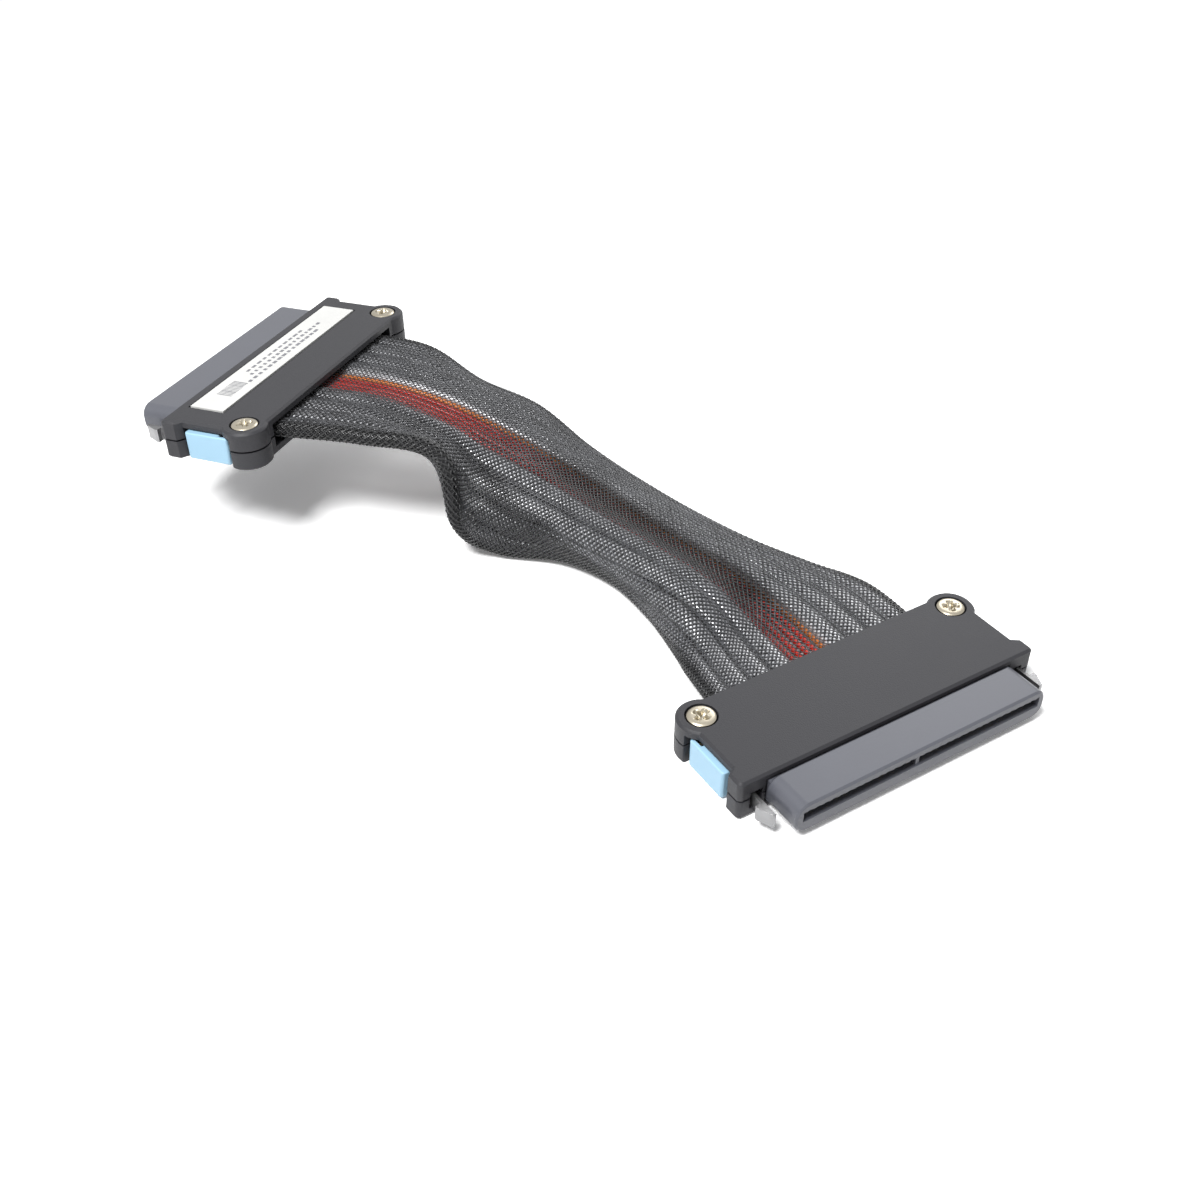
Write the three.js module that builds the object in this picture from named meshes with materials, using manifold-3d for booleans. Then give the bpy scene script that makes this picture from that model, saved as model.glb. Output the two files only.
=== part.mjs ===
import * as THREE from 'three';
import { mergeVertices } from 'three/addons/utils/BufferGeometryUtils.js';
import Module from 'manifold-3d';

// Short internal storage cable: two wide plug connectors joined by a flat strap.
// Millimetres. X runs across the near connector, Y runs back into the strap, Z is up.
// The origin is on the near connector's underside, midway between its two screws.

const wasm = await Module();
wasm.setup();

// Clearances
const FIT_GAP = 0.3;
const SEAM_GAP = 0.3;

// Hood: the two-part cover of a connector
const HOOD_HEIGHT = 6.3;
const SEAM_Z = HOOD_HEIGHT / 2;
const HOOD_WALL = 1.1;
const SCREW_X = 22;
const BOSS_R = 3.5;
const REAR_Y = 2.8;
const SIDE_X = 24.2;
const FLANGE_X = 25.3;
const FLANGE_BACK_Y = -9.8;
const FLANGE_SLOPE = 0.8;
const FLANGE_ROUND = 0.7;
const FRONT_Y = -13.1;
const EDGE_CHAMFER = 0.35;
const CAVITY_X = 19.2;

// Plug nose: the insulator that enters the mating connector
const NOSE_X = 21.3;
const NOSE_BOTTOM = 1.0;
const NOSE_DROP = 0.6;
const NOSE_TOP = HOOD_HEIGHT - NOSE_DROP;
const NOSE_TIP_Y = -19.6;
const NOSE_ROUND = 1.9;
const NOSE_CHAMFER = 0.3;
const NECK_X = 20.8;
const NECK_BOTTOM = 1.4;
const NECK_DROP = 0.75;
const NECK_TOP = NOSE_TOP - NECK_DROP;
const NECK_BACK_Y = -9.0;
const HEEL_BOTTOM = 0.8;
const HEEL_LENGTH = 1.3;
const SLOT_X = 20.2;
const SLOT_DROP = 1.1;
const SLOT_HEIGHT = 1.7;
const SLOT_TOP = NOSE_TOP - SLOT_DROP;
const SLOT_BOTTOM = SLOT_TOP - SLOT_HEIGHT;

// Contacts: thin blades on one wafer
const CONTACT_COUNT = 32;
const CONTACT_MARGIN = 0.515;
const CONTACT_PITCH = 2 * (SLOT_X - CONTACT_MARGIN) / (CONTACT_COUNT - 1);
const CONTACT_WIDTH = 0.4;
const CONTACT_THICKNESS = 0.25;
const CONTACT_SETBACK = 1.0;
const WAFER_FRONT_Y = -13.2;
const KEY_X = -CONTACT_PITCH;
const KEY_WIDTH = 0.6;

// Screws and threaded inserts
const HEAD_R = 2.0;
const HEAD_HEIGHT = 0.95;
const HEAD_PROUD = 0.15;
const RECESS_LENGTH = 2.3;
const RECESS_WIDTH = 0.55;
const RECESS_DEPTH = 0.5;
const SHANK_R = 0.9;
const SHANK_TIP_Z = 1.4;
const INSERT_WALL = 0.7;
const INSERT_BOTTOM = 1.2;

// Side releases: a pad on a sprung steel arm
const RECESS_X = 21.6;
const RECESS_REAR_Y = -2.8;
const PAD_REAR_Y = -1.6;
const PAD_ROOF = 1.2;
const RECESS_TOP = HOOD_HEIGHT - PAD_ROOF;
const PAD_OUTER_X = 25.0;
const PAD_INNER_X = 23.5;
const PRESS_TRAVEL = 0.8;
const LIP_INNER_X = PAD_INNER_X + PRESS_TRAVEL;
const PAD_SIDE_GAP = 0.65;
const PAD_BOTTOM = 0.35;
const PAD_ROUND = 0.45;
const ARM_THICKNESS = 0.5;
const ARM_BOTTOM = 1.6;
const ARM_TOP = 3.8;
const ARM_TIP_Y = -17.4;
const BARB_Y = -14.9;
const BARB_LENGTH = 0.9;

// Label of the far connector
const LABEL_LEFT_X = -21.0;
const LABEL_RIGHT_X = 19.7;
const LABEL_FRONT_Y = -11.2;
const LABEL_BACK_Y = -5.3;
const LABEL_THICKNESS = 0.3;
const LABEL_PROUD = 0.1;

// Where the far connector lies, and how it is turned
const FAR_ORIGIN = [-37.26, 88.36, 15.39];
const FAR_TURN_DEG = [2.21, -2.26, -142.31];

// Strap: a braided sleeve over flat paired conductors and thin single wires
const STRAP_START_Y = 1.2;
const STRAP_MID_Z = 3.2;
const STRAP_CORE_X = 17.0;
const SLEEVE_HALF = 1.6;
const SLEEVE_WALL = 0.4;
const SLEEVE_ACROSS = 15;
const BEND_BOW = 0.085;
const HALF_SAMPLES = 16;
const FRAME_STEP = 0.01;
const PAIR_WIDTH = 2.3;
const PAIR_HEIGHT = 1.15;
const PAIR_PITCH = 3.75;
const PAIR_FIRST_X = 5.0;
const PAIRS_PER_SIDE = 4;
const WIRE_D = 0.8;
const WIRE_PITCH = 1.35;
const WIRE_COUNT = 5;
const WIRE_STEPS = 22;

// Points of the strap's middle surface, from its near edge to its far edge,
// one row a step from the near connector to the far one
const STRAP_ROWS = [
  [[-15.5, 10.4, 2.8], [-7.9, 11.9, 3.6], [0.2, 12.9, 3.6], [8.5, 13.1, 3.3], [17.4, 13.1, 2.6]],
  [[-13.8, 17.4, 2.2], [-9.3, 20.0, 6.8], [-2.0, 22.6, 5.9], [6.1, 22.8, 4.6], [14.2, 22.0, 1.9]],
  [[-12.3, 26.7, 1.8], [-11.4, 28.2, 8.1], [-5.5, 31.4, 7.6], [2.5, 32.6, 5.8], [10.0, 32.1, 1.7]],
  [[-12.6, 36.6, 1.8], [-13.9, 36.3, 8.7], [-8.4, 39.5, 8.8], [-0.5, 42.2, 6.9], [6.6, 43.5, 1.7]],
  [[-16.4, 45.5, 1.9], [-16.9, 44.6, 8.9], [-10.5, 47.9, 9.8], [-3.0, 51.8, 7.8], [4.0, 55.0, 2.0]],
  [[-24.0, 52.6, 1.9], [-20.1, 52.3, 10.2], [-13.4, 56.3, 11.6], [-6.9, 60.4, 10.0], [-0.6, 64.6, 5.6]],
  [[-29.2, 56.1, 6.2], [-23.7, 60.3, 12.0], [-17.8, 64.6, 14.0], [-11.7, 68.9, 13.0], [-5.3, 73.7, 10.6]],
  [[-30.2, 59.8, 17.4], [-29.1, 66.4, 16.6], [-23.5, 71.8, 17.0], [-17.2, 77.0, 16.3], [-11.6, 82.3, 13.2]],
  [[-39.8, 66.9, 19.9], [-35.4, 73.2, 19.2], [-29.7, 78.9, 18.8], [-23.2, 84.3, 18.4], [-16.9, 89.9, 17.5]],
];

// Steps along the strap, closer where it folds
const STRAP_STEPS = [
  0, 0.05, 0.1, 0.15, 0.2, 0.25, 0.3, 0.35, 0.4, 0.45, 0.5, 0.54, 0.58,
  0.61, 0.64, 0.67, 0.7, 0.73, 0.76, 0.79, 0.82, 0.85, 0.89, 0.93, 0.965, 1,
];

// Finishes
const hoodPlastic = new THREE.MeshStandardMaterial({ color: 0x2b2b2e, roughness: 0.62, metalness: 0 });
const nosePlastic = new THREE.MeshStandardMaterial({ color: 0x4c5058, roughness: 0.5, metalness: 0 });
const moulding = new THREE.MeshStandardMaterial({ color: 0x1c1c1e, roughness: 0.7, metalness: 0 });
const padPlastic = new THREE.MeshStandardMaterial({ color: 0x7fc0e8, roughness: 0.45, metalness: 0 });
const nickel = new THREE.MeshStandardMaterial({ color: 0xcfc9bc, roughness: 0.25, metalness: 1 });
const brass = new THREE.MeshStandardMaterial({ color: 0xb89a55, roughness: 0.35, metalness: 1 });
const springSteel = new THREE.MeshStandardMaterial({ color: 0x9c9ea2, roughness: 0.3, metalness: 1 });
const gilding = new THREE.MeshStandardMaterial({ color: 0xc9a557, roughness: 0.3, metalness: 1 });
const paper = new THREE.MeshStandardMaterial({ color: 0xefefec, roughness: 0.6, metalness: 0 });
const braid = new THREE.MeshStandardMaterial({ color: 0x17181a, roughness: 0.65, metalness: 0 });
const silverJacket = new THREE.MeshStandardMaterial({ color: 0xa3a6ab, roughness: 0.4, metalness: 0.3 });
const redJacket = new THREE.MeshStandardMaterial({ color: 0x9c1d14, roughness: 0.45, metalness: 0 });
const orangeJacket = new THREE.MeshStandardMaterial({ color: 0xd0722a, roughness: 0.45, metalness: 0 });

function toSolid(geometry) {
  const bare = geometry.clone();
  bare.deleteAttribute('normal');
  bare.deleteAttribute('uv');
  const merged = mergeVertices(bare, 1e-5);
  const vertProperties = new Float32Array(merged.attributes.position.array);
  const triVerts = new Uint32Array(merged.index.array);
  return new wasm.Manifold(new wasm.Mesh({ numProp: 3, vertProperties, triVerts }));
}

function toGeometry(solid) {
  const mesh = solid.getMesh();
  const geometry = new THREE.BufferGeometry();
  geometry.setAttribute('position', new THREE.BufferAttribute(new Float32Array(mesh.vertProperties), 3));
  geometry.setIndex(new THREE.BufferAttribute(new Uint32Array(mesh.triVerts), 1));
  geometry.computeVertexNormals();
  return geometry;
}

function block(x, y, z) {
  const geometry = new THREE.BoxGeometry(x[1] - x[0], y[1] - y[0], z[1] - z[0]);
  geometry.translate((x[0] + x[1]) / 2, (y[0] + y[1]) / 2, (z[0] + z[1]) / 2);
  return toSolid(geometry);
}

function post(x, radius, z, sides = 20) {
  const geometry = new THREE.CylinderGeometry(radius, radius, z[1] - z[0], sides);
  geometry.rotateX(Math.PI / 2);
  geometry.translate(x, 0, (z[0] + z[1]) / 2);
  return toSolid(geometry);
}

function cutAll(solid, tools) {
  return tools.reduce((rest, tool) => rest.subtract(tool), solid);
}

function piece(name, geometry, material) {
  const mesh = new THREE.Mesh(geometry, material);
  mesh.name = name;
  return mesh;
}

// Outline of the hood seen from above, with a round boss at each rear corner
function hoodOutline() {
  const side = Math.acos((SIDE_X - SCREW_X) / BOSS_R);
  const rear = Math.asin(REAR_Y / BOSS_R);
  const corner = FLANGE_X - FLANGE_ROUND;
  const outline = new THREE.Shape();
  outline.moveTo(-corner, FRONT_Y);
  outline.lineTo(corner, FRONT_Y);
  outline.absarc(corner, FRONT_Y + FLANGE_ROUND, FLANGE_ROUND, -Math.PI / 2, 0, false);
  outline.lineTo(FLANGE_X, FLANGE_BACK_Y - FLANGE_SLOPE);
  outline.lineTo(SIDE_X, FLANGE_BACK_Y);
  outline.absarc(SCREW_X, 0, BOSS_R, -side, Math.PI - rear, false);
  outline.absarc(-SCREW_X, 0, BOSS_R, rear, Math.PI + side, false);
  outline.lineTo(-SIDE_X, FLANGE_BACK_Y);
  outline.lineTo(-FLANGE_X, FLANGE_BACK_Y - FLANGE_SLOPE);
  outline.absarc(-corner, FRONT_Y + FLANGE_ROUND, FLANGE_ROUND, Math.PI, Math.PI * 1.5, false);
  return outline;
}

function hoodBody() {
  const geometry = new THREE.ExtrudeGeometry(hoodOutline(), {
    depth: HOOD_HEIGHT - 2 * EDGE_CHAMFER,
    bevelEnabled: true,
    bevelThickness: EDGE_CHAMFER,
    bevelSize: EDGE_CHAMFER,
    bevelOffset: -EDGE_CHAMFER,
    bevelSegments: 1,
    curveSegments: 7,
  });
  geometry.translate(0, 0, EDGE_CHAMFER);
  return toSolid(geometry);
}

// Everything hollow that both halves of the hood share
function hoodHollows() {
  const far = FLANGE_X + 5;
  const opening = NECK_X + FIT_GAP;
  const inside = [HOOD_WALL, HOOD_HEIGHT - HOOD_WALL];
  const backOfFront = FRONT_Y + HOOD_WALL;
  const sleeveX = STRAP_CORE_X + SLEEVE_HALF + FIT_GAP;
  const sleeveZ = SLEEVE_HALF + FIT_GAP;
  const tools = [
    block([-CAVITY_X, CAVITY_X], [NECK_BACK_Y, REAR_Y - HOOD_WALL], inside),
    block([-opening, opening], [backOfFront, NECK_BACK_Y + FIT_GAP], inside),
    block([-opening, opening], [FRONT_Y - 1, backOfFront + 0.1], [NECK_BOTTOM - FIT_GAP, NECK_TOP + FIT_GAP]),
    block([-opening, opening], [backOfFront, backOfFront + HEEL_LENGTH + 2 * FIT_GAP],
      [HEEL_BOTTOM - FIT_GAP, SEAM_Z]),
    block([-sleeveX, sleeveX], [0, REAR_Y + 2], [STRAP_MID_Z - sleeveZ, STRAP_MID_Z + sleeveZ]),
  ];
  for (const side of [-1, 1]) {
    const recess = side > 0 ? [RECESS_X, far] : [-far, -RECESS_X];
    const slit = side > 0 ? [RECESS_X, PAD_INNER_X] : [-PAD_INNER_X, -RECESS_X];
    const rim = PAD_INNER_X - FIT_GAP;
    const window = side > 0 ? [rim, far] : [-far, -rim];
    tools.push(block(recess, [FLANGE_BACK_Y, RECESS_REAR_Y], [-1, RECESS_TOP]));
    tools.push(block(window, [FLANGE_BACK_Y, PAD_REAR_Y + PAD_SIDE_GAP], [-1, RECESS_TOP]));
    tools.push(block(slit, [FRONT_Y - 1, FLANGE_BACK_Y + 1], [ARM_BOTTOM - FIT_GAP, ARM_TOP + FIT_GAP]));
  }
  return tools;
}

function headBottom() {
  return HOOD_HEIGHT + HEAD_PROUD - HEAD_HEIGHT;
}

function insertRadius() {
  return SHANK_R + FIT_GAP + INSERT_WALL;
}

function topCover(name, hasLabel) {
  const far = FLANGE_X + 5;
  const tools = hoodHollows();
  tools.push(block([-far, far], [-30, 10], [-1, SEAM_Z + SEAM_GAP / 2]));
  for (const x of [-SCREW_X, SCREW_X]) {
    tools.push(post(x, SHANK_R + FIT_GAP, [0, HOOD_HEIGHT + 1], 16));
    tools.push(post(x, HEAD_R + FIT_GAP, [headBottom() - FIT_GAP, HOOD_HEIGHT + 1], 20));
  }
  if (hasLabel) {
    const floor = HOOD_HEIGHT + LABEL_PROUD - LABEL_THICKNESS - FIT_GAP;
    const x = [LABEL_LEFT_X - FIT_GAP, LABEL_RIGHT_X + FIT_GAP];
    const y = [LABEL_FRONT_Y - FIT_GAP, LABEL_BACK_Y + FIT_GAP];
    tools.push(block(x, y, [floor, HOOD_HEIGHT + 1]));
  }
  return piece(name, toGeometry(cutAll(hoodBody(), tools)), hoodPlastic);
}

function bottomCover(name) {
  const far = FLANGE_X + 5;
  const tools = hoodHollows();
  tools.push(block([-far, far], [-30, 10], [SEAM_Z - SEAM_GAP / 2, HOOD_HEIGHT + 1]));
  for (const x of [-SCREW_X, SCREW_X]) {
    tools.push(post(x, insertRadius() + FIT_GAP, [INSERT_BOTTOM - FIT_GAP, HOOD_HEIGHT], 16));
  }
  return piece(name, toGeometry(cutAll(hoodBody(), tools)), hoodPlastic);
}

// The nose is a bar with round ends, drawn from the front and run back along Y
function noseBar() {
  const left = -NOSE_X;
  const right = NOSE_X;
  const r = NOSE_ROUND;
  const outline = new THREE.Shape();
  outline.moveTo(left + r, NOSE_BOTTOM);
  outline.lineTo(right - r, NOSE_BOTTOM);
  outline.absarc(right - r, NOSE_BOTTOM + r, r, -Math.PI / 2, 0, false);
  outline.absarc(right - r, NOSE_TOP - r, r, 0, Math.PI / 2, false);
  outline.absarc(left + r, NOSE_TOP - r, r, Math.PI / 2, Math.PI, false);
  outline.absarc(left + r, NOSE_BOTTOM + r, r, Math.PI, Math.PI * 1.5, false);
  const front = FRONT_Y - FIT_GAP;
  const geometry = new THREE.ExtrudeGeometry(outline, {
    depth: front - NOSE_TIP_Y - 2 * NOSE_CHAMFER,
    bevelEnabled: true,
    bevelThickness: NOSE_CHAMFER,
    bevelSize: NOSE_CHAMFER,
    bevelOffset: -NOSE_CHAMFER,
    bevelSegments: 1,
    curveSegments: 4,
  });
  geometry.rotateX(Math.PI / 2);
  geometry.translate(0, front - NOSE_CHAMFER, 0);
  return toSolid(geometry);
}

function noseHousing(name) {
  const heelFront = FRONT_Y + HOOD_WALL + FIT_GAP;
  const keyX = [KEY_X - KEY_WIDTH / 2, KEY_X + KEY_WIDTH / 2];
  const neck = block([-NECK_X, NECK_X], [FRONT_Y - 1, NECK_BACK_Y], [NECK_BOTTOM, NECK_TOP]);
  const heel = block([-NECK_X, NECK_X], [heelFront, heelFront + HEEL_LENGTH], [HEEL_BOTTOM, NECK_BOTTOM + 0.5]);
  const slot = block([-SLOT_X, SLOT_X], [NOSE_TIP_Y - 1, NECK_BACK_Y + 1], [SLOT_BOTTOM, SLOT_TOP]);
  const key = block(keyX, [NOSE_TIP_Y + NOSE_CHAMFER, WAFER_FRONT_Y - FIT_GAP], [SLOT_BOTTOM - 0.2, SLOT_TOP + 0.2]);
  const solid = noseBar().add(neck).add(heel).subtract(slot).add(key);
  return piece(name, toGeometry(solid), nosePlastic);
}

function contactCarrier(name) {
  const waferX = SLOT_X - FIT_GAP;
  const z = [SLOT_BOTTOM + FIT_GAP, SLOT_TOP - FIT_GAP];
  const tip = NOSE_TIP_Y + CONTACT_SETBACK;
  let solid = block([-waferX, waferX], [WAFER_FRONT_Y, NECK_BACK_Y], z);
  for (let i = 0; i < CONTACT_COUNT; i += 1) {
    const x = (i - (CONTACT_COUNT - 1) / 2) * CONTACT_PITCH;
    const across = [x - CONTACT_WIDTH / 2, x + CONTACT_WIDTH / 2];
    solid = solid.add(block(across, [tip, WAFER_FRONT_Y + 0.5], [z[1] - CONTACT_THICKNESS, z[1]]));
  }
  return piece(name, toGeometry(solid), gilding);
}

// Moulding that grips the conductors behind the contacts
function strainRelief(name) {
  const x = CAVITY_X - FIT_GAP;
  const z = [HOOD_WALL + FIT_GAP, HOOD_HEIGHT - HOOD_WALL - FIT_GAP];
  const y = [NECK_BACK_Y + FIT_GAP, STRAP_START_Y - FIT_GAP];
  return piece(name, toGeometry(block([-x, x], y, z)), moulding);
}

function screw(name, x) {
  const bottom = headBottom();
  const top = bottom + HEAD_HEIGHT;
  const half = RECESS_LENGTH / 2;
  const slim = RECESS_WIDTH / 2;
  const cross = block([x - half, x + half], [-slim, slim], [top - RECESS_DEPTH, top + 1])
    .add(block([x - slim, x + slim], [-half, half], [top - RECESS_DEPTH, top + 1]));
  const shank = post(x, SHANK_R, [SHANK_TIP_Z, bottom + 0.3], 12);
  const head = post(x, HEAD_R, [bottom, top], 20);
  return piece(name, toGeometry(head.add(shank).subtract(cross)), nickel);
}

function threadedInsert(name, x) {
  const inner = SHANK_R + FIT_GAP;
  const outer = insertRadius();
  const top = SEAM_Z - SEAM_GAP / 2;
  const ring = [[inner, INSERT_BOTTOM], [outer, INSERT_BOTTOM], [outer, top], [inner, top], [inner, INSERT_BOTTOM]];
  const geometry = new THREE.LatheGeometry(ring.map((p) => new THREE.Vector2(p[0], p[1])), 16);
  geometry.rotateX(Math.PI / 2);
  geometry.translate(x, 0, 0);
  return piece(name, toGeometry(toSolid(geometry)), brass);
}

// Thumb pad whose rear lip is slimmer, so that it clears the insert when pressed in
function releasePad(name, side) {
  const y = [FLANGE_BACK_Y + PAD_SIDE_GAP, PAD_REAR_Y];
  const step = RECESS_REAR_Y - PAD_SIDE_GAP;
  const r = PAD_ROUND;
  const outline = new THREE.Shape();
  outline.moveTo(PAD_INNER_X, y[0]);
  outline.lineTo(PAD_OUTER_X - r, y[0]);
  outline.absarc(PAD_OUTER_X - r, y[0] + r, r, -Math.PI / 2, 0, false);
  outline.absarc(PAD_OUTER_X - r, y[1] - r, r, 0, Math.PI / 2, false);
  outline.lineTo(LIP_INNER_X, y[1]);
  outline.lineTo(LIP_INNER_X, step);
  outline.lineTo(PAD_INNER_X, step);
  const height = RECESS_TOP - FIT_GAP - PAD_BOTTOM;
  const geometry = new THREE.ExtrudeGeometry(outline, { depth: height, bevelEnabled: false, curveSegments: 3 });
  geometry.translate(0, 0, PAD_BOTTOM);
  return piece(name, sided(geometry, side), padPlastic);
}

// Steel arm from behind the pad, through the front post, to a barb beside the nose
function latchArm(name, side) {
  const outer = PAD_INNER_X - FIT_GAP;
  const inner = outer - ARM_THICKNESS;
  const rear = RECESS_REAR_Y - PAD_SIDE_GAP;
  const outline = new THREE.Shape();
  outline.moveTo(inner, rear);
  outline.lineTo(inner, ARM_TIP_Y);
  outline.lineTo(outer, ARM_TIP_Y);
  outline.lineTo(outer + BARB_LENGTH, BARB_Y - ARM_THICKNESS);
  outline.lineTo(outer + BARB_LENGTH, BARB_Y);
  outline.lineTo(outer, BARB_Y);
  outline.lineTo(outer, rear);
  const geometry = new THREE.ExtrudeGeometry(outline, { depth: ARM_TOP - ARM_BOTTOM, bevelEnabled: false });
  geometry.translate(0, 0, ARM_BOTTOM);
  return piece(name, sided(geometry, side), springSteel);
}

// Mirrors a right-hand piece to the left by turning its triangles over
function sided(geometry, side) {
  const solid = toSolid(geometry);
  if (side > 0) return toGeometry(solid);
  const mesh = solid.getMesh();
  const points = new Float32Array(mesh.vertProperties);
  const turned = new Uint32Array(mesh.triVerts.length);
  for (let i = 0; i < points.length; i += 3) points[i] = -points[i];
  for (let i = 0; i < turned.length; i += 3) {
    turned[i] = mesh.triVerts[i];
    turned[i + 1] = mesh.triVerts[i + 2];
    turned[i + 2] = mesh.triVerts[i + 1];
  }
  const mirrored = new THREE.BufferGeometry();
  mirrored.setAttribute('position', new THREE.BufferAttribute(points, 3));
  mirrored.setIndex(new THREE.BufferAttribute(turned, 1));
  mirrored.computeVertexNormals();
  return mirrored;
}

function label(name) {
  const top = HOOD_HEIGHT + LABEL_PROUD;
  const x = [LABEL_LEFT_X, LABEL_RIGHT_X];
  const y = [LABEL_FRONT_Y, LABEL_BACK_Y];
  return piece(name, toGeometry(block(x, y, [top - LABEL_THICKNESS, top])), paper);
}

function connector(end, hasLabel) {
  const group = new THREE.Group();
  group.add(topCover(`${end}_top_cover`, hasLabel));
  group.add(bottomCover(`${end}_bottom_cover`));
  group.add(noseHousing(`${end}_nose_housing`));
  group.add(contactCarrier(`${end}_contact_carrier`));
  group.add(strainRelief(`${end}_strain_relief`));
  for (const [hand, side] of [['left', -1], ['right', 1]]) {
    group.add(screw(`${end}_screw_${hand}`, side * SCREW_X));
    group.add(threadedInsert(`${end}_insert_${hand}`, side * SCREW_X));
    group.add(releasePad(`${end}_release_pad_${hand}`, side));
    group.add(latchArm(`${end}_latch_arm_${hand}`, side));
  }
  if (hasLabel) group.add(label(`${end}_label`));
  return group;
}

function turnedFar() {
  const [x, y, z] = FAR_TURN_DEG.map(THREE.MathUtils.degToRad);
  return new THREE.Euler(x, y, z, 'ZYX');
}

// One end row of the strap, inside a connector
function endRow(placed, flip) {
  const row = [];
  for (const share of [-1, -0.5, 0, 0.5, 1]) {
    row.push(placed(new THREE.Vector3(flip * share * STRAP_CORE_X, STRAP_START_Y, STRAP_MID_Z)));
  }
  return row;
}

function strapGrid() {
  const turn = turnedFar();
  const origin = new THREE.Vector3(...FAR_ORIGIN);
  const rows = STRAP_ROWS.map((row) => row.map((p) => new THREE.Vector3(...p)));
  const first = endRow((p) => p, 1);
  const last = endRow((p) => p.applyEuler(turn).add(origin), -1);
  return [first, ...rows, last];
}

// A point past the end of a row: straight on, or bending on as its last three points do
function beyond(p, q, r, bent) {
  if (!bent) return p.clone().multiplyScalar(2).sub(q);
  return p.clone().multiplyScalar(3).addScaledVector(q, -3).add(r);
}

// Catmull-Rom blend of evenly spaced points
function blend(points, x, bent) {
  const last = points.length - 1;
  const at = (k) => {
    if (k < 0) return beyond(points[0], points[1], points[2], bent);
    if (k > last) return beyond(points[last], points[last - 1], points[last - 2], bent);
    return points[k];
  };
  const i = Math.min(Math.floor(x), last - 1);
  const f = x - i;
  const weights = [
    0.5 * (-f + 2 * f * f - f ** 3),
    0.5 * (2 - 5 * f * f + 3 * f ** 3),
    0.5 * (f + 4 * f * f - 3 * f ** 3),
    0.5 * (-f * f + f ** 3),
  ];
  const sum = new THREE.Vector3();
  weights.forEach((w, k) => sum.addScaledVector(at(i - 1 + k), w));
  return sum;
}

const grid = strapGrid();

// Puts a point midway between each two, bowed out so that a bend comes out round
function rounded(points) {
  const last = points.length - 1;
  const result = [points[0]];
  for (let k = 0; k < last; k += 1) {
    const before = k > 0 ? points[k - 1] : beyond(points[0], points[1], points[2], true);
    const after = k < last - 1 ? points[k + 2] : beyond(points[last], points[last - 1], points[last - 2], true);
    const middle = points[k].clone().add(points[k + 1]).multiplyScalar(0.5 + BEND_BOW);
    middle.addScaledVector(before, -BEND_BOW).addScaledVector(after, -BEND_BOW);
    result.push(middle, points[k + 1]);
  }
  return result;
}

// Section of the strap at t, as two curves that run from its centre to its two edges
const sections = new Map();

function sectionAt(t) {
  if (!sections.has(t)) {
    const rowCount = grid.length - 1;
    const columns = rounded(grid[0].map((_, k) => blend(grid.map((row) => row[k]), t * rowCount, false)));
    const reach = (columns.length - 1) / 2;
    const half = (side) => {
      const points = [];
      for (let k = 0; k <= HALF_SAMPLES; k += 1) {
        points.push(blend(columns, reach * (1 + side * k / HALF_SAMPLES), true));
      }
      return new THREE.CatmullRomCurve3(points);
    };
    sections.set(t, { near: half(-1), far: half(1) });
  }
  return sections.get(t);
}

// Point of the strap's middle surface: t runs along it, a across it from -1 to 1
function strapPoint(t, a) {
  const { near, far } = sectionAt(t);
  return a < 0 ? near.getPointAt(-a) : far.getPointAt(a);
}

// Local frame of the strap: its point, its direction across, and its upward normal
function strapFrame(t, a) {
  const t0 = Math.max(0, t - FRAME_STEP);
  const t1 = Math.min(1, t + FRAME_STEP);
  const a0 = Math.max(-1, a - FRAME_STEP);
  const a1 = Math.min(1, a + FRAME_STEP);
  const along = strapPoint(t1, a).sub(strapPoint(t0, a)).normalize();
  const across = strapPoint(t, a1).sub(strapPoint(t, a0)).normalize();
  const normal = across.clone().cross(along).normalize();
  const square = along.clone().cross(normal).normalize();
  return { point: strapPoint(t, a), across: square, normal };
}

function offset(frame, across, up) {
  return frame.point.clone().addScaledVector(frame.across, across).addScaledVector(frame.normal, up);
}

// One closed loop of the sleeve at a step, at the given half thickness
function sleeveLoop(t, half) {
  const loop = [];
  for (let j = 0; j < SLEEVE_ACROSS; j += 1) {
    const a = -1 + 2 * j / (SLEEVE_ACROSS - 1);
    loop.push(offset(strapFrame(t, a), 0, half));
  }
  const right = strapFrame(t, 1);
  for (const deg of [45, 90, 135]) {
    const turn = THREE.MathUtils.degToRad(deg);
    loop.push(offset(right, half * Math.sin(turn), half * Math.cos(turn)));
  }
  for (let j = SLEEVE_ACROSS - 1; j >= 0; j -= 1) {
    const a = -1 + 2 * j / (SLEEVE_ACROSS - 1);
    loop.push(offset(strapFrame(t, a), 0, -half));
  }
  const left = strapFrame(t, -1);
  for (const deg of [45, 90, 135]) {
    const turn = THREE.MathUtils.degToRad(deg);
    loop.push(offset(left, -half * Math.sin(turn), -half * Math.cos(turn)));
  }
  return loop;
}

// Joins loops of equal length into side walls; indices run from the given start
function wallTriangles(count, steps, start, outward) {
  const triangles = [];
  for (let i = 0; i < steps - 1; i += 1) {
    for (let k = 0; k < count; k += 1) {
      const next = (k + 1) % count;
      const a = start + i * count + k;
      const b = start + i * count + next;
      const c = start + (i + 1) * count + next;
      const d = start + (i + 1) * count + k;
      if (outward) triangles.push(a, b, d, b, c, d);
      else triangles.push(a, d, b, b, d, c);
    }
  }
  return triangles;
}

function indexed(points, triangles) {
  const geometry = new THREE.BufferGeometry().setFromPoints(points);
  geometry.setIndex(triangles);
  geometry.computeVertexNormals();
  return geometry;
}

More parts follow.
